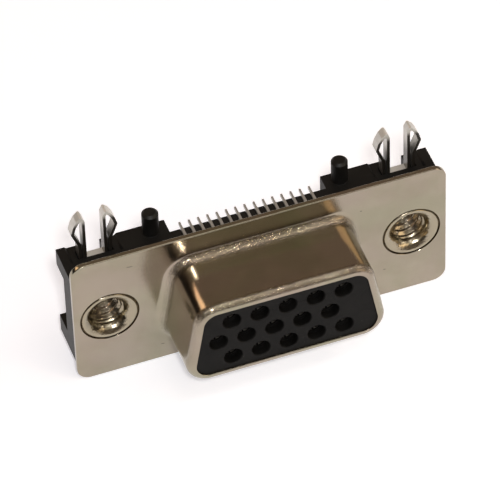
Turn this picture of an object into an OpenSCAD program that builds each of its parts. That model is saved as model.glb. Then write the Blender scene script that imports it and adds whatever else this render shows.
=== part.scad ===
// High-density 15-way D-sub receptacle, shell size E, right-angle surface-mount
// with board locks, locating pegs and clinched screw inserts. Millimetres.
// Origin: midway between the two screw inserts, on the front face of the flange.
// +X to the right seen from the front, +Y to the back, +Z towards the board face.

/* [Flange] */
// width of the flange along the screw line
flange_width = 30.81; // [30.2:0.01:31.6]
// height of the flange across the D
flange_height = 12.55; // [11.6:0.05:13.4]
// thickness of the drawn sheet
sheet = 0.45; // [0.35:0.05:0.55]
// corner radius of the flange
flange_corner = 1.1; // [0.5:0.1:2.5]
// from each end of the flange to the screw axis
screw_inset = 2.91; // [2.8:0.01:3.1]

/* [D shroud] */
// outer width of the D at its wide side
shroud_width = 16.33; // [16.0:0.01:16.6]
// outer height of the D
shroud_height = 7.9; // [7.6:0.05:8.2]
// how far the D stands out of the flange
shroud_depth = 5.77; // [4.8:0.01:6.4]
// slope of the D's short sides, degrees
shroud_slope = 10; // [8:0.5:12]
// outer corner radius of the D
shroud_corner = 1.9; // [1.6:0.1:2.4]
// how far the turned-in front lip reaches inwards, from the outer face
lip_reach = 0.7; // [0.55:0.05:0.8]
// thickness of the turned-in front lip
lip_thick = 0.4; // [0.3:0.05:0.6]
// outer rounding of the front lip
lip_round = 0.65; // [0.3:0.05:0.65]
// draw radius where the D meets the flange
draw_radius = 0.8; // [0.4:0.1:1.2]

/* [Contacts] */
// pitch of the contacts along a row
contact_pitch = 2.29; // [2.25:0.01:2.33]
// distance between the rows
row_pitch = 1.98; // [1.9:0.01:2.05]
// sideways shift of the outer rows from the middle of the flange
row_shift = 0.15; // [-0.2:0.05:0.4]
// diameter of the hole mouths in the face
mouth_dia = 1.5; // [1.3:0.05:1.6]
// depth of the wide part of each hole
mouth_depth = 0.8; // [0.4:0.1:1.4]
// diameter of the socket barrel
barrel_dia = 1.1; // [1.0:0.05:1.15]
// bore of the socket barrel
barrel_bore = 0.8; // [0.7:0.05:0.85]
// depth of the socket's bore
bore_depth = 4.2; // [3.5:0.1:4.6]
// width of the cross slots in the socket barrel
barrel_slot = 0.16; // [0.1:0.02:0.24]
// diameter of the stem behind the barrel
stem_dia = 0.56; // [0.4:0.02:0.66]
// width of the upright leads
lead_width = 0.28; // [0.2:0.02:0.34]
// width of the solder tails
tail_width = 0.22; // [0.16:0.02:0.3]
// width of the solder tails past the comb
tip_width = 0.16; // [0.1:0.02:0.2]
// thickness of the lead metal
lead_thick = 0.25; // [0.2:0.01:0.3]
// how far the tails stand past the comb
tail_reach = 0.65; // [0.3:0.05:1.2]

/* [Housing] */
// how far the flange stands past each end of the housing
body_inset = 0.105; // [0.005:0.005:0.3]
// board face of the housing above the screw line
board_level = 4.45; // [4.3:0.05:4.8]
// lower face of the housing below the screw line
body_drop = 4.78; // [4.6:0.01:5.2]
// back of the ear web behind the flange front
web_back = 2.5; // [2.2:0.1:2.8]
// back of the middle of the housing
middle_back = 2.8; // [2.7:0.1:3.1]
// back of the ear plates on the board side
plate_back = 4.2; // [4.1:0.05:4.6]
// back of the ear blocks on the far side
block_back = 4.4; // [3.6:0.1:5.0]
// thickness of the ear plates
plate_thick = 1.65; // [1.4:0.05:1.65]
// thickness of the ear blocks
block_thick = 1.7; // [1.2:0.1:2.0]
// half-width of the middle between the ears
ear_start = 6.45; // [6.3:0.05:6.8]
// thickness of the wall that closes each ear towards the middle
ear_wall = 0.7; // [0.5:0.1:1.0]

/* [Pegs] */
// distance of a locating peg from the middle
peg_x = 7.8; // [7.6:0.1:8.4]
// diameter of the locating pegs
peg_dia = 1.34; // [1.1:0.02:1.4]
// height of the pegs above the board face
peg_height = 2.15; // [1.4:0.05:2.6]
// chamfer of the pegs
peg_chamfer = 0.2; // [0.1:0.05:0.4]

/* [Board locks] */
// thickness of the lock strip
lock_sheet = 0.24; // [0.2:0.02:0.3]
// width of the lock strip along the board edge to back direction
lock_depth = 0.85; // [0.6:0.05:0.95]
// front edge of the lock behind the flange front
lock_front = 2.75; // [2.7:0.05:2.9]
// distance between the middles of the two legs
lock_legs = 1.68; // [1.5:0.02:1.8]
// height of the legs above the board face, to the root of the spring leaf
lock_leg_height = 3.7; // [3.0:0.1:4.2]
// how far a leaf swings out from its leg
lock_bow = 0.92; // [0.6:0.02:1.0]
// depth of the lock's base under the board face
lock_sink = 0.5; // [0.4:0.05:0.6]

/* [Screw inserts] */
// outer diameter of the insert's face ring
insert_ring = 4.66; // [4.4:0.02:4.8]
// thickness of the face ring, set into the flange
ring_thick = 0.25; // [0.15:0.05:0.25]
// diameter of the insert's barrel
insert_barrel = 4.0; // [3.9:0.05:4.2]
// diameter of the rolled collar behind the ear web
collar_dia = 4.9; // [4.6:0.1:5.2]
// length of the rolled collar
collar_length = 1.1; // [0.5:0.1:1.6]
// diameter of the threaded bore
thread_dia = 2.84; // [2.6:0.02:3.0]
// diameter of the countersink at the ring
sink_dia = 3.7; // [3.4:0.05:3.9]

/* [Hidden] */
// clearance of parts that slip into each other
slip = 0.03;
// groove between an insert ring and the flange
ring_gap = 0.08;
// distance of the insulator's face behind the rim
face_set = 0.12;
// chamfer of the hole mouths
mouth_chamfer = 0.06;
// overlap used only where a cut runs out of a solid
over = 1;
// a hair, by which tangent faces of the drawn shell cross instead of touching
hair = 0.005;
// distance between the two screw axes
screw_spacing = flange_width - 2*screw_inset;
screw_x = screw_spacing/2;
body_width = flange_width - 2*body_inset;
half_h = shroud_height/2;
corner_z = half_h - shroud_corner;
wide_x = shroud_width/2 - shroud_corner;
narrow_x = wide_x - 2*corner_z*tan(shroud_slope);
D_CORNERS = [[wide_x, -corner_z], [-wide_x, -corner_z],
    [-narrow_x, corner_z], [narrow_x, corner_z]];
inner_r = shroud_corner - sheet;
mouth_r = shroud_corner - lip_reach;
face_depth = shroud_depth - face_set;
tail_pitch = contact_pitch/3;
tail_shift = row_shift - 0.25;
lead_y = 1.6;
tail_top = board_level + 0.08;
tail_end = middle_back + tail_reach;
pocket_front = lead_y - lead_thick/2 - 0.15;
pocket_half = 7.5*tail_pitch + 0.35;
pocket_top = board_level - 0.8;
pocket_low = -row_pitch - 1.1;
cavity_dia = barrel_dia + 2*slip;
barrel_front = shroud_depth - 1.05;
peg_y = plate_back - 0.8;
strip_top = board_level - lock_sink;
strip_low = strip_top - lock_sheet;
slot_half = lock_legs/2 + 0.62;
slot_front = lock_front - slip;
collar_back = web_back + collar_length;

// a plate outline with round corners
module round_rect(w, h, r) {
    square([w - 2*r, h], center = true);
    square([w, h - 2*r], center = true);
    for (x = [-1, 1], y = [-1, 1])
        translate([x*(w/2 - r), y*(h/2 - r)]) circle(r, $fn = 48);
}

// sweeps a half-section round the D: section x is the distance from a corner centre,
// section y the distance in front of the flange; the middle is filled from low to high.
// Straight sides sit a hair back and down, so that the corners cross them cleanly
module d_sweep(low, high) {
    for (i = [0:3]) {
        a = D_CORNERS[i];
        side = D_CORNERS[(i + 1)%4] - a;
        translate([a.x, a.y, 0]) {
            rotate_extrude($fn = 72) children();
            rotate([0, 0, atan2(side.y, side.x)]) rotate([90, 0, 90])
                linear_extrude(norm(side)) translate([-hair, -hair]) children();
        }
    }
    translate([0, 0, low]) linear_extrude(high - low) polygon(D_CORNERS);
}

// half-section of the shroud's outside, with its rounded rim
module shroud_outside() {
    r = shroud_corner - lip_round;
    square([r, shroud_depth]);
    square([shroud_corner, shroud_depth - lip_round]);
    translate([r, shroud_depth - lip_round]) rotate(-135) circle(lip_round, $fn = 48);
}

// half-section of the shroud's inside, narrowed by the turned-in lip
module shroud_inside() {
    low = -sheet - over;
    translate([0, low]) square([inner_r, shroud_depth - lip_thick - low]);
    translate([0, low]) square([mouth_r, shroud_depth + over - low]);
}

// half-section that spreads from a wall into the flange, hollowed by a round of the
// given radius; it ends a hair below the sheet's face, so that the two cross
module draw_bend(low, radius) {
    reach = shroud_corner + draw_radius;
    level = draw_radius - hair;
    difference() {
        translate([0, low]) square([reach, level - low]);
        translate([reach, level]) circle(radius, $fn = 64);
    }
}

// half-section of the insulator: body inside the shroud and nose through the lip
module insulator_section() {
    translate([0, hair - sheet])
        square([inner_r - slip, sheet - hair + shroud_depth - lip_thick - slip]);
    translate([0, hair - sheet]) square([mouth_r - slip, sheet - hair + face_depth]);
}

// drawn steel shell: flange with the D-shaped shroud in one sheet
module front_shell() {
    color([0.62, 0.58, 0.51]) rotate([90, 0, 0]) difference() {
        union() {
            translate([0, 0, -sheet]) linear_extrude(sheet)
                round_rect(flange_width, flange_height, flange_corner);
            d_sweep(-sheet/2, shroud_depth - 2*hair) {
                shroud_outside();
                draw_bend(-sheet/2, draw_radius);
            }
        }
        d_sweep(-sheet - over, shroud_depth + over) {
            shroud_inside();
            draw_bend(-sheet - over, draw_radius + sheet);
        }
        for (s = [-1, 1]) translate([s*screw_x, 0, 0]) {
            translate([0, 0, -ring_thick])
                cylinder(d = insert_ring + 2*ring_gap, h = ring_thick + over, $fn = 72);
            translate([0, 0, -sheet - over])
                cylinder(d = insert_barrel + 2*slip, h = sheet + 2*over, $fn = 72);
        }
    }
}

// x and z of a contact: rows 0 and 2 line up, row 1 is half a pitch to the left
function contact_x(row, k) = row_shift + (k - 2)*contact_pitch - (row == 1 ? contact_pitch/2 : 0);
function contact_z(row) = (1 - row)*row_pitch;
// x of the tail that belongs to it
function tail_x(row, k) = tail_shift + (3*k - 7 + (row == 1 ? 0 : row == 0 ? 1 : 2))*tail_pitch;

// moulded face insulator with fifteen stepped holes
module front_insulator() {
    color([0.15, 0.15, 0.15]) rotate([90, 0, 0]) difference() {
        d_sweep(hair - sheet, face_depth) insulator_section();
        for (row = [0:2], k = [0:4]) translate([contact_x(row, k), contact_z(row), 0]) {
            translate([0, 0, -sheet - over])
                cylinder(d = cavity_dia, h = sheet + over + face_depth, $fn = 40);
            translate([0, 0, face_depth - mouth_depth])
                cylinder(d = mouth_dia, h = mouth_depth + over, $fn = 40);
            translate([0, 0, face_depth - mouth_chamfer])
                cylinder(d1 = mouth_dia, d2 = mouth_dia + 2*mouth_chamfer,
                    h = mouth_chamfer, $fn = 40);
        }
    }
}

// block between two corners given as [x, y, z]
module block(a, b) { translate(a) cube(b - a); }

// one ear seen on the right: web, board-side plate, far-side block, end wall and peg
module ear() {
    outer = body_width/2;
    block([0, sheet, -body_drop], [outer, web_back, board_level]);
    block([ear_start, sheet, board_level - plate_thick], [outer, plate_back, board_level]);
    block([ear_start, sheet, -body_drop], [outer, block_back, -body_drop + block_thick]);
    block([ear_start, sheet, -body_drop], [ear_start + ear_wall, plate_back, board_level]);
    translate([peg_x, peg_y, board_level - over]) {
        cylinder(d = peg_dia, h = peg_height - peg_chamfer + over, $fn = 48);
        translate([0, 0, peg_height - peg_chamfer + over])
            cylinder(d1 = peg_dia, d2 = peg_dia - 2*peg_chamfer, h = peg_chamfer, $fn = 48);
    }
}

// what is cut away round a board lock, about the lock's middle
module lock_slot() {
    block([-slot_half, slot_front, strip_low],
        [slot_half, lock_front + lock_depth + slip, board_level + over]);
    // opening behind the strip, between the legs
    block([-lock_legs/2 + 0.1, lock_front + lock_depth, strip_low - 2],
        [lock_legs/2 - 0.1, plate_back + over, board_level + over]);
    // shallow relief with sloping ends
    translate([0, slot_front - 0.4, 0]) rotate([-90, 0, 0])
        linear_extrude(plate_back)
            polygon([[-1.95, -board_level + 0.16], [1.95, -board_level + 0.16],
                [2.25, -board_level - 0.14], [-2.25, -board_level - 0.14]]);
    // hole for the strip's press-in tongue
    block([-0.4 - slip, slot_front + 0.2, strip_low - 0.8 - slip],
        [0.4 + slip, slot_front + 0.2 + lock_sheet + 2*slip, strip_low + 0.1]);
}

// moulded housing behind the flange, with comb, ears and pegs
module housing() {
    color([0.11, 0.1, 0.1]) difference() {
        union() {
            ear();
            mirror([1, 0, 0]) ear();
            block([-ear_start - 0.1, sheet, -body_drop],
                [ear_start + 0.1, middle_back, board_level]);
        }
        // rear pocket round the upright leads
        block([-pocket_half, pocket_front, pocket_low],
            [pocket_half, middle_back + over, pocket_top]);
        for (row = [0:2], k = [0:4]) {
            // hole for the stem
            translate([contact_x(row, k), 0, contact_z(row)]) rotate([-90, 0, 0])
                cylinder(d = stem_dia + 2*slip, h = middle_back, $fn = 32);
            // slot for the lead in the comb, and groove for the tail
            translate([tail_x(row, k), 0, 0]) {
                block([-lead_width/2 - slip, lead_y - lead_thick/2 - slip, 0],
                    [lead_width/2 + slip, lead_y + lead_thick/2 + slip, board_level + over]);
                block([-tail_width/2 - slip, lead_y, tail_top - lead_thick - slip],
                    [tail_width/2 + slip, middle_back + over, board_level + over]);
            }
        }
        for (s = [-1, 1]) translate([s*screw_x, 0, 0]) {
            rotate([-90, 0, 0])
                cylinder(d = insert_barrel + 2*slip, h = web_back + over, $fn = 72);
            lock_slot();
        }
    }
}

// threaded insert clinched through flange and ear web
module threaded_insert(s) {
    color([0.78, 0.72, 0.6]) translate([s*screw_x, 0, 0]) rotate([-90, 0, 0]) difference() {
        union() {
            cylinder(d = insert_ring, h = ring_thick, $fn = 96);
            cylinder(d = insert_barrel, h = web_back + 0.1, $fn = 96);
            translate([0, 0, web_back]) cylinder(d = collar_dia, h = collar_length, $fn = 96);
        }
        translate([0, 0, -over])
            cylinder(d = thread_dia, h = collar_back + 2*over, $fn = 64);
        cylinder(d1 = sink_dia, d2 = thread_dia, h = (sink_dia - thread_dia)/2, $fn = 64);
        translate([0, 0, collar_back - 0.25])
            cylinder(d1 = thread_dia, d2 = thread_dia + 0.5, h = 0.25, $fn = 64);
    }
}
module threaded_insert_left() { threaded_insert(-1); }
module threaded_insert_right() { threaded_insert(1); }

// a strip of the lock's thickness along a line of x, z points
module strip(points) {
    t = lock_sheet/2;
    for (i = [0:len(points) - 2]) {
        a = points[i];
        b = points[i + 1];
        n = t*[b.y - a.y, a.x - b.x]/norm(b - a);
        polygon([a + n, b + n, b - n, a - n]);
        if (i > 0) translate(a) circle(t, $fn = 24);
    }
}

// board lock: a base strip with two legs, each folded over into a bowed spring leaf
module boardlock(s) {
    x0 = lock_legs/2;
    top = board_level + lock_leg_height;
    leaf_foot = strip_top + 0.25;
    prong = [[0, strip_top - lock_sheet/2], [x0, strip_top - lock_sheet/2], [x0, top],
        [x0 + 0.17, top + 0.34], [x0 + 0.46, top + 0.06], [x0 + 0.74, top - 0.46],
        [x0 + lock_bow, top - 1.12], [x0 + 0.7, top - 1.72], [x0 + 0.42, top - 2.4],
        [x0 + 0.38, leaf_foot]];
    color([0.72, 0.71, 0.69]) translate([s*screw_x, lock_front, 0]) {
        translate([0, lock_depth, 0]) rotate([90, 0, 0]) linear_extrude(lock_depth) {
            strip(prong);
            mirror([1, 0]) strip(prong);
        }
        // press-in tongue
        block([-0.4, 0.2, strip_low - 0.8], [0.4, 0.2 + lock_sheet, strip_low + 0.1]);
    }
}
module boardlock_left() { boardlock(-1); }
module boardlock_right() { boardlock(1); }

// socket contact: slotted barrel, stem, cross arm, upright lead and solder tail
module contact(row, k) {
    x = contact_x(row, k);
    z = contact_z(row);
    tx = tail_x(row, k);
    w = lead_width/2;
    t = lead_thick/2;
    color([0.75, 0.74, 0.71]) {
        translate([x, 0, z]) rotate([90, 0, 0]) difference() {
            translate([0, 0, -sheet]) cylinder(d = barrel_dia, h = barrel_front + sheet, $fn = 40);
            translate([0, 0, barrel_front - bore_depth])
                cylinder(d = barrel_bore, h = bore_depth + over, $fn = 32);
            translate([0, 0, barrel_front - 0.2])
                cylinder(d1 = barrel_bore, d2 = barrel_bore + 0.2, h = 0.2 + over/100, $fn = 32);
            for (a = [0, 90]) rotate([0, 0, a]) translate([-over, -barrel_slot/2, barrel_front - 3])
                cube([2*over, barrel_slot, 3 + over]);
        }
        translate([x, 0, z]) rotate([-90, 0, 0]) cylinder(d = stem_dia, h = lead_y + t, $fn = 32);
        block([min(x, tx) - w, lead_y - t, z - w], [max(x, tx) + w, lead_y + t, z + w]);
        block([tx - w, lead_y - t, z - w], [tx + w, lead_y + t, tail_top]);
        block([tx - tail_width/2, lead_y, tail_top - lead_thick],
            [tx + tail_width/2, middle_back, tail_top]);
        block([tx - tip_width/2, lead_y, tail_top - lead_thick],
            [tx + tip_width/2, tail_end, tail_top]);
    }
}
module contact_01() { contact(0, 0); }
module contact_02() { contact(0, 1); }
module contact_03() { contact(0, 2); }
module contact_04() { contact(0, 3); }
module contact_05() { contact(0, 4); }
module contact_06() { contact(1, 0); }
module contact_07() { contact(1, 1); }
module contact_08() { contact(1, 2); }
module contact_09() { contact(1, 3); }
module contact_10() { contact(1, 4); }
module contact_11() { contact(2, 0); }
module contact_12() { contact(2, 1); }
module contact_13() { contact(2, 2); }
module contact_14() { contact(2, 3); }
module contact_15() { contact(2, 4); }

front_shell();
front_insulator();
housing();
threaded_insert_left();
threaded_insert_right();
boardlock_left();
boardlock_right();
contact_01();
contact_02();
contact_03();
contact_04();
contact_05();
contact_06();
contact_07();
contact_08();
contact_09();
contact_10();
contact_11();
contact_12();
contact_13();
contact_14();
contact_15();
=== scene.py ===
"""Looks of a right-angle D-sub connector: a drawn nickel shell with a turned-in lip, a
moulded housing, screw inserts, folded board locks and fifteen contacts."""

import math

import bmesh
import bpy
import numpy as np
from mathutils import Matrix, Vector


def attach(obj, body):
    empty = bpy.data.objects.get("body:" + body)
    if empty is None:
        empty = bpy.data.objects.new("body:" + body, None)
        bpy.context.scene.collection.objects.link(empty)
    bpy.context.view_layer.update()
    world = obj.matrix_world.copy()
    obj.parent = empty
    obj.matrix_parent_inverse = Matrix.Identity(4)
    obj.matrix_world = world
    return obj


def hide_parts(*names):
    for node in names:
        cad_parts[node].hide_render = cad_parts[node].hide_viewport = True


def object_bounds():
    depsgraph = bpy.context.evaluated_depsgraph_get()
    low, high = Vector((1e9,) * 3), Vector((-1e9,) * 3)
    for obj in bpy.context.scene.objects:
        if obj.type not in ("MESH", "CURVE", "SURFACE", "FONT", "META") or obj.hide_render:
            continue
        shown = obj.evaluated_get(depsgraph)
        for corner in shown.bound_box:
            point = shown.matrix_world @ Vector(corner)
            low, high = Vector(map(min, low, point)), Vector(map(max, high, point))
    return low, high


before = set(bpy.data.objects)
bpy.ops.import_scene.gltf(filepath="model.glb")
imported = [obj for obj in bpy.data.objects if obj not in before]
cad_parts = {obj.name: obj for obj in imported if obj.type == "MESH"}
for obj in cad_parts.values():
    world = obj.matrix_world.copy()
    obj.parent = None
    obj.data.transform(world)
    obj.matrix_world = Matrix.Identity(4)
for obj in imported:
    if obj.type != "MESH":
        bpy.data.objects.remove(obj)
solid_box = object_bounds()

# ---------------------------------------------------------------- sizes, in millimetres

MM = 0.001
WELD = 0.00002             # points nearer to each other than this are one point

# shell: the flange, and the shroud that is drawn out of it with its lip turned in
FLANGE = (30.81, 12.55)
FLANGE_CORNER = 1.1
SHEET = 0.45
SHEET_EDGE = 0.09
SPLIT_X = 9.5              # the flange's middle block meets its end blocks here
SCREW_X = 12.495
SHROUD_DEPTH = 5.77
SHROUD_CORNER = 1.9
DRAW_RADIUS = 0.8
LIP_ROUND = 0.65
LIP_REACH = 0.7
LIP_THICK = 0.4
LIP_EDGE = 0.05

# centres of the D's four corners, anticlockwise from the lower right
WIDE_X = 6.265
NARROW_X = 5.542
CORNER_Z = 2.05
D_CORNERS = np.array([(WIDE_X, -CORNER_Z), (NARROW_X, CORNER_Z),
                      (-NARROW_X, CORNER_Z), (-WIDE_X, -CORNER_Z)])

# stepped hole of an insert in the flange
SEAT_RADIUS = 2.41
SEAT_DEPTH = 0.25
SEAT_EDGE = 0.04
BARREL_HOLE = 2.03

# insert: ring in the seat, barrel, collar behind, and a threaded bore with a dish before it
RING_RADIUS = 2.27
RING_EDGE = 0.09
BARREL_RADIUS = 2.0
COLLAR_RADIUS = 2.45
COLLAR_FRONT = 2.5
COLLAR_BACK = 3.6
COLLAR_EDGE = 0.2
BORE_CHAMFER = 0.25
DISH_WIDTH = 0.64
DISH_DEPTH = 0.85
DISH_TURN = 55             # degrees that the dish's wall turns through
ROOT_RADIUS = 1.42
THREAD_PITCH = 0.635
THREAD_DEPTH = 0.26
THREAD_RIDGE = (1.25, 2.9)  # its peak, cut flat at 1, and its fall to a side over a pitch
THREAD_START = (0.12, 0.3)  # how far before the bore it starts to rise, and over what length
THREAD_END = 0.2           # length over which it runs out at the back

# scratches of the flange, and where the drawn metal is pitted
SCRATCHES = ((-10.68, 4.87, 0.28), (-8.35, -4.73, 0.16),
             (10.2, -3.4, 0.12), (8.3, 3.9, 0.1))    # x, z and half length
SCRATCH_SLOPE = 0.12
FOOT_BEND = (-1.0, -0.7, -0.15, -0.02)     # y where pits start, are full, fade and end
LIP_BEND = (-5.77, -5.6, -5.25, -5.0)

# floor, lamps and camera
FLOOR_GAP = 0.05
FLOOR_SIZE = 3000
PAPER_LIFT = 0.44          # light that the paper seems to give off by itself
LAMPS = (
    # name; place, width and height in metres; brightness, colour
    ("flash", (-0.07, -0.265, 0.32), 0.03, 0.03, 250.0, (1, 1, 1)),
    ("overhead", (0.05, -0.1, 0.35), 0.14, 0.14, 2.0, (1, 1, 1)),
    ("right_lamp", (0.26, -0.05, 0.24), 0.1, 0.1, 4.5, (1, 0.93, 0.84)),
    ("left_lamp", (-0.2, 0.2, 0.2), 0.1, 0.1, 2.6, (1, 0.66, 0.42)),
    ("front_lamp", (0.22, -0.2, 0.13), 0.1, 0.2, 2.6, (1, 0.8, 0.55)),
)
CAMERA_TURN = (-18.5464, 46.7016, -2.0823)  # azimuth, elevation and roll, in degrees
CAMERA_FAR = 381.1123
CAMERA_AIM = (-0.8967, 0, 3.0339)
CAMERA_FILM = 36
CAMERA_LENS = 352.2976488


# ---------------------------------------------------------------- meshes

def arc(centre, radius, start, end, count):
    """Points centre + radius * (cos, sin) of an angle that runs from start to end, in degrees."""
    angle = np.radians(np.linspace(start, end, count))
    return np.stack([centre[0] + radius * np.cos(angle), centre[1] + radius * np.sin(angle)], 1)


def line(start, end, count):
    """Points spread evenly from start to end, ends included."""
    return np.linspace(start, end, count)


def path(*runs):
    """Runs of points joined into one, with a point that repeats at a join kept once."""
    points = np.concatenate(runs)
    step = np.linalg.norm(np.diff(points, axis=0), axis=1)
    return points[np.concatenate([[True], step > WELD])]


def mirrored_loop(side, top):
    """A closed loop from its right side, upwards, and its top, leftwards: the other two sides
    are these with -x and with -z."""
    return path(side, top, (side * (-1, 1))[::-1], (top * (1, -1))[::-1])[:-1]


def grid_faces(rows, columns, base):
    """Quads between neighbouring rows of a grid whose columns close on themselves."""
    cell = np.arange((rows - 1) * columns).reshape(rows - 1, columns)
    ahead = np.roll(cell, -1, 1)
    return np.stack([cell, ahead, ahead + columns, cell + columns], -1).reshape(-1, 4) + base


def closed_piece(name, grids, material, replaced):
    """One closed mesh from grids of points in millimetres, each rows x columns x 3 and round in
    its columns. Points that meet are merged, and the faces are then turned outwards."""
    points, faces, base = [], [], 0
    for grid in grids:
        rows, columns = grid.shape[:2]
        points.append(grid.reshape(-1, 3))
        faces.append(grid_faces(rows, columns, base))
        base += rows * columns
    mesh = bpy.data.meshes.new(name)
    mesh.from_pydata(np.concatenate(points) * MM, [], np.concatenate(faces).tolist())
    work = bmesh.new()
    work.from_mesh(mesh)
    bmesh.ops.remove_doubles(work, verts=work.verts, dist=WELD * MM)
    bmesh.ops.recalc_face_normals(work, faces=work.faces)
    work.to_mesh(mesh)
    work.free()
    mesh.polygons.foreach_set("use_smooth", np.ones(len(mesh.polygons), bool))
    mesh.materials.append(material)
    piece = bpy.data.objects.new(name, mesh)
    bpy.context.scene.collection.objects.link(piece)
    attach(piece, "root")
    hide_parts(replaced)


def feet_on_d(points):
    """The nearest point on the polygon of corner centres, and the unit direction from it to the
    point. The D grown by r is then foot + r * direction."""
    side = np.roll(D_CORNERS, -1, 0) - D_CORNERS
    along = ((points[:, None] - D_CORNERS) * side).sum(-1) / (side ** 2).sum(-1)
    feet = D_CORNERS + np.clip(along, 0, 1)[..., None] * side
    away = points[:, None] - feet
    far = np.linalg.norm(away, axis=-1)
    nearest = (np.arange(len(points)), far.argmin(1))
    return feet[nearest], away[nearest] / far[nearest][:, None]


def swept(feet, out, profile):
    """Surface (foot + r * out, depth): profile rows are (r, depth in front of the flange)."""
    r, depth = profile[:, 0, None], profile[:, 1, None]
    flat = feet[None] + r[..., None] * out[None]
    return np.stack([flat[..., 0], np.broadcast_to(-depth, flat.shape[:2]), flat[..., 1]], -1)


def plate_rows(outer, inner, depth):
    """Flat rows outer + share * (inner - outer) between two loops at one depth, close together
    near both so that the rounded edges don't tilt the shading of the flat."""
    share = np.array([0, 0.02, 0.3, 0.7, 0.98, 1])[:, None, None]
    flat = outer[None] * (1 - share) + inner[None] * share
    return np.stack([flat[..., 0], np.full(flat.shape[:2], -depth), flat[..., 1]], -1)


def holed_plate(loop, feet, out, profile):
    """A block of the flange: flat rows from its loop on the front to the start of a profile,
    the surface that the profile sweeps, and flat rows from its end to the loop on the back."""
    start, end = (feet + profile[i, 0] * out for i in (0, -1))
    return np.concatenate([plate_rows(loop, start, 0)[:-1], swept(feet, out, profile),
                           plate_rows(loop, end, -SHEET)[::-1][1:]])


def shroud_profile():
    """Section of the D's wall, as (distance from the polygon of corner centres, depth in front
    of the flange): draw radius, wall and lip on the outside, then back along the inside."""
    root = (SHROUD_CORNER + DRAW_RADIUS, DRAW_RADIUS)
    wall_in = SHROUD_CORNER - SHEET
    mouth = SHROUD_CORNER - LIP_REACH
    ledge = SHROUD_DEPTH - LIP_THICK
    front = (SHROUD_CORNER - LIP_ROUND, SHROUD_DEPTH - LIP_ROUND)
    edge = (mouth + LIP_EDGE, SHROUD_DEPTH - LIP_EDGE)
    return path(
        arc(root, DRAW_RADIUS, 270, 180, 14),
        line((SHROUD_CORNER, DRAW_RADIUS), (SHROUD_CORNER, front[1]), 8),
        arc(front, LIP_ROUND, 0, 90, 14),
        line((front[0], SHROUD_DEPTH), (edge[0], SHROUD_DEPTH), 3),
        arc(edge, LIP_EDGE, 90, 180, 6),
        line((mouth, edge[1]), (mouth, ledge), 3),
        line((mouth, ledge), (wall_in, ledge), 3),
        line((wall_in, ledge), (wall_in, DRAW_RADIUS), 3),
        arc(root, DRAW_RADIUS + SHEET, 180, 270, 10))


def seat_profile():
    """Section of an insert's stepped hole, as (radius, depth in front of the flange)."""
    return path(
        arc((SEAT_RADIUS + SEAT_EDGE, -SEAT_EDGE), SEAT_EDGE, 90, 180, 5),
        line((SEAT_RADIUS, -SEAT_EDGE), (SEAT_RADIUS, -SEAT_DEPTH), 3),
        line((SEAT_RADIUS, -SEAT_DEPTH), (BARREL_HOLE, -SEAT_DEPTH), 3),
        line((BARREL_HOLE, -SEAT_DEPTH), (BARREL_HOLE, -SHEET), 3))


def shell_grids():
    """The drawn shell: a middle block of the flange with the D drawn out of it, two end blocks
    with the hole of an insert, and the flange's rounded rim. Blocks share their edge points."""
    half = np.array(FLANGE) / 2 - SHEET_EDGE
    corner = FLANGE_CORNER - SHEET_EDGE
    (half_x, half_z), (core_x, core_z) = half, half - corner
    split = line((SPLIT_X, -half_z), (SPLIT_X, half_z), 110)
    top = line((SPLIT_X, half_z), (-SPLIT_X, half_z), 150)
    end = path(line((SPLIT_X, -half_z), (core_x, -half_z), 30),
               arc((core_x, -core_z), corner, -90, 0, 12),
               line((half_x, -core_z), (half_x, core_z), 70),
               arc((core_x, core_z), corner, 0, 90, 12),
               line((core_x, half_z), (SPLIT_X, half_z), 30))

    loop = mirrored_loop(split, top)
    grids = [holed_plate(loop, *feet_on_d(loop), shroud_profile())]

    for side in (1, -1):
        loop = path(end, split[::-1])[:-1] * (side, 1)
        centre = np.array([side * SCREW_X, 0])
        out = loop - centre
        out /= np.linalg.norm(out, axis=1)[:, None]
        grids.append(holed_plate(loop, np.broadcast_to(centre, out.shape), out, seat_profile()))

    # rim: its loop grown along the flat direction away from a rectangle shrunk by the corner
    loop = mirrored_loop(end, top)
    out = (loop - np.clip(loop, corner - half, half - corner)) / corner
    rim = path(arc((0, -SHEET_EDGE), SHEET_EDGE, 90, 0, 7),
               line((SHEET_EDGE, -SHEET_EDGE), (SHEET_EDGE, SHEET_EDGE - SHEET), 3),
               arc((0, SHEET_EDGE - SHEET), SHEET_EDGE, 0, -90, 7))
    grids.append(swept(loop, out, rim))
    return grids


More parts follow.
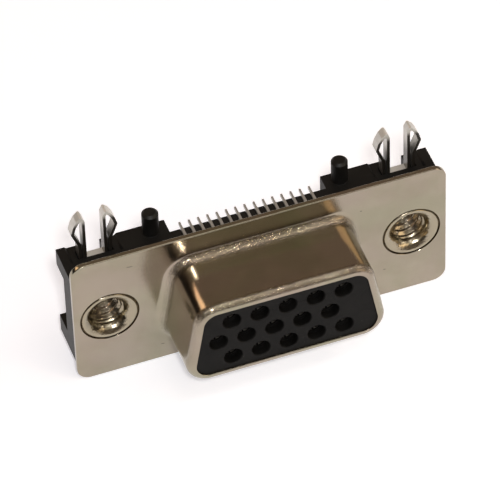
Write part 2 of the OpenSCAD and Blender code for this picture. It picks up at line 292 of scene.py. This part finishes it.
def insert_grid(x):
    """Insert turned about its axis: radius and depth along a closed profile. Its dish is a part
    of an ellipse, centre + reach * (cos, sin), that runs into the bore without an edge. In the
    bore the radius is root - thread depth * ridge(depth / pitch - turn), which makes the
    helix."""
    around = np.linspace(0, 2 * math.pi, 96, endpoint=False)
    bore_end = COLLAR_BACK - BORE_CHAMFER
    turn_in = math.radians(DISH_TURN)
    reach = (DISH_WIDTH, DISH_DEPTH) / np.array([1 - math.cos(turn_in), math.sin(turn_in)])
    centre = (ROOT_RADIUS + reach[0], DISH_DEPTH)
    collar = (COLLAR_RADIUS - COLLAR_EDGE, COLLAR_BACK - COLLAR_EDGE)
    turned = path(
        line((COLLAR_RADIUS, COLLAR_FRONT), (BARREL_RADIUS, COLLAR_FRONT), 3),
        line((BARREL_RADIUS, COLLAR_FRONT), (BARREL_RADIUS, SEAT_DEPTH), 3),
        line((BARREL_RADIUS, SEAT_DEPTH), (RING_RADIUS, SEAT_DEPTH), 3),
        line((RING_RADIUS, SEAT_DEPTH), (RING_RADIUS, RING_EDGE), 3),
        arc((RING_RADIUS - RING_EDGE, RING_EDGE), RING_EDGE, 0, -90, 6),
        line((RING_RADIUS - RING_EDGE, 0), (ROOT_RADIUS + DISH_WIDTH, 0), 4),
        centre + arc((0, 0), 1, 180 + DISH_TURN, 180, 20) * reach)
    bore = line((ROOT_RADIUS, DISH_DEPTH), (ROOT_RADIUS, bore_end), 90)[1:]
    tail = path(
        line((ROOT_RADIUS, bore_end), (ROOT_RADIUS + BORE_CHAMFER, COLLAR_BACK), 4)[1:],
        line((ROOT_RADIUS + BORE_CHAMFER, COLLAR_BACK), (collar[0], COLLAR_BACK), 4),
        arc(collar, COLLAR_EDGE, 90, 0, 8),
        line((COLLAR_RADIUS, collar[1]), (COLLAR_RADIUS, COLLAR_FRONT), 3))
    profile = np.concatenate([turned, bore, tail])
    radius = np.repeat(profile[:, :1], len(around), 1)
    depth = np.repeat(profile[:, 1:], len(around), 1)
    turn = depth / THREAD_PITCH - around[None] / (2 * math.pi)
    (peak, fall), (before, rise) = THREAD_RIDGE, THREAD_START
    ridge = np.clip(peak - fall * np.abs(turn % 1 - 0.5), 0, 1)
    cut_in = np.clip((depth - DISH_DEPTH + before) / rise, 0, 1)
    cut_out = np.clip((bore_end - depth) / THREAD_END, 0, 1)
    in_bore = np.isclose(profile[:, 0], ROOT_RADIUS)[:, None]
    radius = radius - np.where(in_bore, THREAD_DEPTH * ridge * cut_in * cut_out, 0)
    return np.stack([x + radius * np.cos(around), depth, radius * np.sin(around)], -1)


# ---------------------------------------------------------------- node trees

class Value:
    """A number that a node gives out. Arithmetic on it adds Math nodes to its tree."""

    def __init__(self, tree, socket):
        self.tree, self.socket = tree, socket

    def math(self, operation, *terms):
        return self.tree.add("Math", {"operation": operation}, dict(enumerate(terms)))

    def __add__(self, other):
        return self.math("ADD", self, other)

    def __sub__(self, other):
        return self.math("SUBTRACT", self, other)

    def __rsub__(self, other):
        return self.math("SUBTRACT", other, self)

    def __mul__(self, other):
        return self.math("MULTIPLY", self, other)

    def __abs__(self):
        return self.math("ABSOLUTE", self)

    __radd__ = __add__
    __rmul__ = __mul__

    def at_most(self, limit):
        return self.math("MINIMUM", self, limit)

    def step(self, low, high):
        """0 on low's side and 1 on high's side, with a smooth change between the two. Low may be
        the larger number."""
        falls = low > high
        return self.tree.add("MapRange", {"interpolation_type": "SMOOTHSTEP"}, {
            "Value": self, "From Min": min(low, high), "From Max": max(low, high),
            "To Min": float(falls), "To Max": float(not falls)})

    def between(self, low, rise, fall, high):
        """1 from rise to fall and 0 outside low and high, with smooth changes."""
        return self.step(low, rise) * self.step(high, fall)


class Tree:
    """A node tree being built."""

    def __init__(self, owner):
        owner.use_nodes = True
        self.tree = owner.node_tree
        self.tree.nodes.clear()

    def feed(self, socket, value):
        """Links a node's output to a socket, or writes a plain value there."""
        if isinstance(value, Value):
            value = value.socket
        if isinstance(value, bpy.types.NodeSocket):
            self.tree.links.new(value, socket)
        elif isinstance(value, tuple) and socket.type == "RGBA":
            socket.default_value = (*value, 1)
        else:
            socket.default_value = value

    def add(self, kind, settings, inputs, output=0):
        """A node of a kind: its settings first, then its inputs by name or number. Gives one
        output, as a Value where it is a number."""
        node = self.tree.nodes.new("ShaderNode" + kind)
        for name, value in settings.items():
            setattr(node, name, value)
        for name, value in inputs.items():
            self.feed(node.inputs[name], value)
        socket = node.outputs[output] if len(node.outputs) else None
        if socket is not None and socket.type == "VALUE":
            return Value(self, socket)
        return socket

    def mix(self, share, a, b):
        """Colour a turned into colour b by a share."""
        return self.add("Mix", {"data_type": "RGBA"}, {0: share, 6: a, 7: b}, 2)

    def parts(self, vector, axes):
        """The coordinates of a vector along the axes named."""
        return [self.add("SeparateXYZ", {}, {"Vector": vector}, axis) for axis in axes]


class Finish(Tree):
    """A material with one Principled shader. Patterns run on the piece's own coordinates, in
    millimetres."""

    def __init__(self, name, **shader):
        self.material = bpy.data.materials.new(name)
        super().__init__(self.material)
        surface = self.add("BsdfPrincipled", {}, {})
        self.shader = surface.node
        self.add("OutputMaterial", {}, {"Surface": surface})
        self.place = self.add("TexCoord", {}, {}, "Object")
        for socket, value in shader.items():
            self.set(socket.replace("_", " "), value)

    def set(self, name, value):
        """A value or a pattern for one socket of the shader."""
        self.feed(self.shader.inputs[name], value)

    def spot(self, stretch=(1, 1, 1), shift=(0, 0, 0)):
        """The piece's coordinates in millimetres, stretched and then shifted."""
        return self.add("Mapping", {}, {
            "Vector": self.place, "Location": shift, "Scale": tuple(s / MM for s in stretch)})

    def facing(self):
        """The way that the surface faces, in the piece's own directions."""
        return self.add("TexCoord", {}, {}, "Normal")

    def noise(self, size, detail=3, rough=0.5, stretch=(1, 1, 1)):
        """Noise with features of about a size in millimetres, from 0 to 1. Each size has its own
        shift, so that no two patterns share a centre."""
        return self.add("TexNoise", {}, {
            "Vector": self.spot(stretch, (size * 7, 0, size * 3)), "Scale": 1 / size,
            "Detail": detail, "Roughness": rough})

    def specks(self, spacing, radius):
        """1 inside small dots of a radius scattered at a spacing, 0 elsewhere."""
        far = self.add("TexVoronoi", {}, {"Vector": self.spot(), "Scale": 1 / spacing},
                       "Distance")
        return far.step(radius / spacing, radius / spacing * 0.5)

    def relief(self, height, depth, soft_edge=0):
        """Bump from a height of 0 to 1 that stands for a depth in millimetres, on edges that
        look rounded by soft_edge."""
        inputs = {"Height": height, "Strength": 1.0, "Distance": depth * MM}
        if soft_edge:
            inputs["Normal"] = self.add("Bevel", {"samples": 6}, {"Radius": soft_edge * MM})
        self.set("Normal", self.add("Bump", {}, inputs))


# ---------------------------------------------------------------- finishes

def shell_nickel():
    """Warm satin nickel over drawn steel: broad stains, two tints, fine draw marks, small dark
    specks and a few scratches on the flange. Where the steel was bent it is pitted; on top of
    the bends painted shade darkens the colour, and painted highlights make small bright glints."""
    f = Finish("shell_nickel", Metallic=1.0)
    x, depth, z = f.parts(f.spot(), "XYZ")
    stain = f.noise(3.2, 4, 0.55)
    tint = f.noise(5.0, 2)
    fine = f.noise(0.22, 4, 0.6)
    base = f.mix(stain.step(0.3, 0.7), (0.318, 0.279, 0.213), (0.370, 0.328, 0.255))
    base = f.mix(tint.step(0.45, 0.65) * 0.6, base, (0.358, 0.300, 0.250))
    base = f.mix(tint.step(0.52, 0.32) * 0.6, base, (0.315, 0.300, 0.215))

    marks = f.specks(1.6, 0.05) * f.noise(2.4, 2).step(0.5, 0.6)
    for place, height, half in SCRATCHES:
        along = x - place
        scratch = abs(z - height + SCRATCH_SLOPE * along).step(0.06, 0.02)
        marks = marks + scratch * abs(along).step(half, 0.6 * half) * depth.step(-0.1, -0.02)
    base = f.mix(marks * 0.7, base, (0.09, 0.075, 0.06))

    bent = depth.between(*FOOT_BEND) + depth.between(*LIP_BEND)
    # painted light: the upper sides of the bends, where painted shade and painted glints go
    painted_light_on_bend_tops = bent * f.parts(f.facing(), "Z")[0].step(0.1, 0.45)
    # painted highlights: small bright glints scattered over the upper sides of the bends
    painted_glints = f.specks(0.15, 0.05) * f.noise(0.6, 2).step(0.4, 0.55) * painted_light_on_bend_tops
    # painted shade: darkens the colour on the upper sides of the bends
    base = f.mix(painted_light_on_bend_tops * 0.55, base, (0.14, 0.107, 0.072))
    # the painted glints are mixed into the colour here
    f.set("Base Color", f.mix(painted_glints * 0.75, base, (0.80, 0.70, 0.52)))
    f.set("Roughness", 0.14 + 0.07 * stain + 0.05 * fine.step(0.45, 0.75) - 0.03 * bent)
    draw = f.noise(0.16, 3, 0.6, (1, 0.12, 1))
    pits = f.noise(0.1, 2).step(0.42, 0.62) * bent
    f.relief(fine * 0.16 + draw * 0.1 + stain * 0.4 + pits, 0.013)
    return f.material


def insert_plating():
    """Bright nickel on a turned insert, softly dented, with painted shade that darkens it down in
    the bore.
    """
    f = Finish("insert_plating", Metallic=1.0)
    [depth] = f.parts(f.spot(), "Y")
    base = f.mix(f.noise(0.8), (0.325, 0.285, 0.21), (0.40, 0.352, 0.262))
    # painted shade: the colour darkens deeper in the bore
    f.set("Base Color", f.mix(depth.step(0.4, 1.8) * 0.4, base, (0.20, 0.165, 0.135)))
    f.set("Roughness", 0.15 + 0.1 * f.noise(0.3))
    dents = f.noise(0.45, 2) * depth.step(0.02, 0.3)
    f.relief(f.noise(0.2, 3, 0.6) * 0.4 + dents, 0.042)
    return f.material


def housing_black():
    """Black glass-filled moulding: satin, with a fine grain, flow streaks and pale dust."""
    f = Finish("housing_black", Specular_IOR_Level=0.3)
    flow = f.noise(1.6, 4, 0.6, (0.4, 1, 1))
    grain = f.noise(0.09, 3, 0.6)
    base = f.mix(flow.step(0.35, 0.7), (0.0045, 0.0043, 0.0040), (0.0085, 0.0080, 0.0072))
    dust = f.specks(0.5, 0.035) * f.noise(1.1, 2).step(0.5, 0.7)
    f.set("Base Color", f.mix(dust * 0.35, base, (0.16, 0.15, 0.13)))
    f.set("Roughness", 0.40 + 0.16 * flow + 0.06 * grain)
    f.relief(grain + 0.8 * flow, 0.006, 0.06)
    return f.material


def face_grey():
    """Dark grey moulding of the contact face: nearly matt, with a fine grain and pale dust."""
    f = Finish("face_grey", Specular_IOR_Level=0.11)
    cloud = f.noise(1.3)
    grain = f.noise(0.07, 3, 0.6)
    base = f.mix(cloud.step(0.3, 0.7), (0.0045, 0.0042, 0.0038), (0.0085, 0.0080, 0.0074))
    dust = f.specks(0.45, 0.03) * f.noise(0.9, 2).step(0.52, 0.7)
    f.set("Base Color", f.mix(dust * 0.4, base, (0.2, 0.19, 0.17)))
    f.set("Roughness", 0.46 + 0.12 * cloud)
    f.relief(grain + 0.5 * cloud, 0.005, 0.04)
    return f.material


def lock_tin():
    """Bright tin on folded strip, with rolled lines and soft dull patches. Painted shade darkens
    the upright strip towards the housing, and makes faces that face forwards nearly black, but
    for those of the leaves' tips."""
    f = Finish("lock_tin", Metallic=0.4)
    [height] = f.parts(f.spot(), "Z")
    forwards, upwards = f.parts(f.facing(), "YZ")
    rolled = f.noise(0.12, 3, 0.6, (1, 0.15, 1))
    patch = f.noise(0.7)
    # painted shade: faces that face forwards, below the leaves' tips, are made nearly black (and
    # rougher)
    forward_faces_painted_dark = forwards.step(-0.6, -0.9) * height.step(8.3, 7.7)
    # painted shade: upright faces darken towards the housing
    shade = height.step(7.6, 5.6) * abs(upwards).step(0.8, 0.5)
    base = f.mix(patch, (0.64, 0.63, 0.60), (0.82, 0.81, 0.77))
    # painted shade is mixed into the colour here
    base = f.mix(shade * 0.85, base, (0.05, 0.046, 0.042))
    # painted shade: the forward faces are mixed to nearly black here
    f.set("Base Color", f.mix(forward_faces_painted_dark * 0.96, base, (0.012, 0.009, 0.006)))
    f.set("Roughness", 0.26 + 0.16 * patch + 0.2 * forward_faces_painted_dark)
    f.relief(rolled + 1.2 * patch, 0.005, 0.035)
    return f.material


def contact_tin():
    """Tin on stamped contacts: pale grey, satin, a little mottled, with painted shade that makes
    them dark inside the face.
    """
    f = Finish("contact_tin", Metallic=0.7)
    [depth] = f.parts(f.spot(), "Y")
    patch = f.noise(0.35)
    base = f.mix(patch, (0.46, 0.46, 0.45), (0.62, 0.62, 0.60))
    # painted shade: the contacts darken inside the face
    f.set("Base Color", f.mix(depth.step(-1.0, -1.6) * 0.9, base, (0.05, 0.042, 0.03)))
    f.set("Roughness", 0.26 + 0.14 * patch)
    f.relief(patch + f.noise(0.08, 2), 0.003)
    return f.material


# ---------------------------------------------------------------- pieces

finishes = {
    "front_shell": shell_nickel(), "front_insulator": face_grey(), "housing": housing_black(),
    "boardlock": lock_tin(), "contact": contact_tin(), "threaded_insert": insert_plating(),
}
for name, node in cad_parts.items():
    finish = next(f for start, f in finishes.items() if name.startswith(start))
    for slot in node.material_slots:
        slot.material = finish

closed_piece("shell_skin", shell_grids(), finishes["front_shell"],
             "front_shell")
for side, name in ((-1, "left"), (1, "right")):
    closed_piece(f"insert_skin_{name}", [insert_grid(side * SCREW_X)],
                 finishes["threaded_insert"], f"threaded_insert_{name}")


# ---------------------------------------------------------------- floor, light and camera

def seen_or_mirrored(tree):
    """1 for rays from the camera and for rays that gloss or glass sends on."""
    seen, gloss, glass = (tree.add("LightPath", {}, {}, name) for name in (
        "Is Camera Ray", "Is Glossy Ray", "Is Transmission Ray"))
    return (seen + gloss + glass).at_most(1.0)


def pale_floor():
    """White paper: it keeps the object's shadow and shows a little brighter than it is lit."""
    material = bpy.data.materials.new("floor_paper")
    tree = Tree(material)
    paper = tree.add("BsdfDiffuse", {}, {"Color": (0.86, 0.86, 0.86)})
    lift = tree.add("Emission", {}, {
        "Color": (0.99, 1.0, 1.1), "Strength": seen_or_mirrored(tree) * PAPER_LIFT})
    both = tree.add("AddShader", {}, {0: paper, 1: lift})
    tree.add("OutputMaterial", {}, {"Surface": both})
    return material


def floor():
    """A square sheet just under the object's lowest point."""
    mesh = bpy.data.meshes.new("floor")
    s, level = FLOOR_SIZE / 2 * MM, solid_box[0].z - FLOOR_GAP * MM
    mesh.from_pydata([(-s, -s, level), (s, -s, level), (s, s, level), (-s, s, level)], [],
                     [(0, 1, 2, 3)])
    mesh.materials.append(pale_floor())
    sheet = bpy.data.objects.new("floor", mesh)
    bpy.context.scene.collection.objects.link(sheet)


def studio_walls():
    """World light: a dim brown room, dimmer in front, with a pale patch high up there, and nearly
    black low on the left."""
    world = bpy.data.worlds.new("studio")
    bpy.context.scene.world = world
    tree = Tree(world)
    x, y, z = tree.parts(tree.add("TexCoord", {}, {}, "Generated"), "XYZ")
    colour = tree.mix(y.step(0.2, -0.4), (0.25, 0.19, 0.142), (0.15, 0.12, 0.095))
    colour = tree.mix(y.step(-0.3, -0.6) * z.step(0.45, 0.7), colour, (0.70, 0.66, 0.56))
    colour = tree.mix(x.step(-0.2, -0.5) * z.step(0.5, 0.3), colour, (0.008, 0.007, 0.006))
    walls = tree.add("Background", {}, {"Color": colour, "Strength": 1.0})
    tree.add("OutputWorld", {}, {"Surface": walls})


def softbox(name, place, width, height, brightness, colour):
    """A rectangular lamp of an even brightness, which faces the part."""
    lamp = bpy.data.lights.new(name, "AREA")
    lamp.shape = "RECTANGLE"
    lamp.size, lamp.size_y = width, height
    lamp.energy = brightness * math.pi * width * height
    lamp.color = colour
    box = bpy.data.objects.new(name, lamp)
    box.location = place
    box.rotation_euler = (-Vector(place)).to_track_quat("-Z", "Y").to_euler()
    bpy.context.scene.collection.objects.link(box)


def camera():
    """Looks down on the front from above left, through a long lens."""
    azimuth, elevation, roll = map(math.radians, CAMERA_TURN)
    back = Vector((math.sin(azimuth) * math.cos(elevation),
                   -math.cos(azimuth) * math.cos(elevation), math.sin(elevation)))
    place = back * CAMERA_FAR * MM
    ahead = (Vector(CAMERA_AIM) * MM - place).normalized()
    right = ahead.cross(Vector((0, 0, 1))).normalized()
    up = right.cross(ahead)
    across = right * math.cos(roll) + up * math.sin(roll)
    upright = -right * math.sin(roll) + up * math.cos(roll)
    lens = bpy.data.cameras.new("camera")
    lens.sensor_width, lens.lens = CAMERA_FILM, CAMERA_LENS
    lens.clip_start, lens.clip_end = 0.01, 10
    view = bpy.data.objects.new("camera", lens)
    turn = Matrix((across, upright, -ahead)).transposed().to_4x4()
    view.matrix_world = Matrix.Translation(place) @ turn
    bpy.context.scene.collection.objects.link(view)
    bpy.context.scene.camera = view


bpy.context.scene.view_settings.view_transform = "Standard"
floor()
studio_walls()
for lamp in LAMPS:
    softbox(*lamp)
camera()
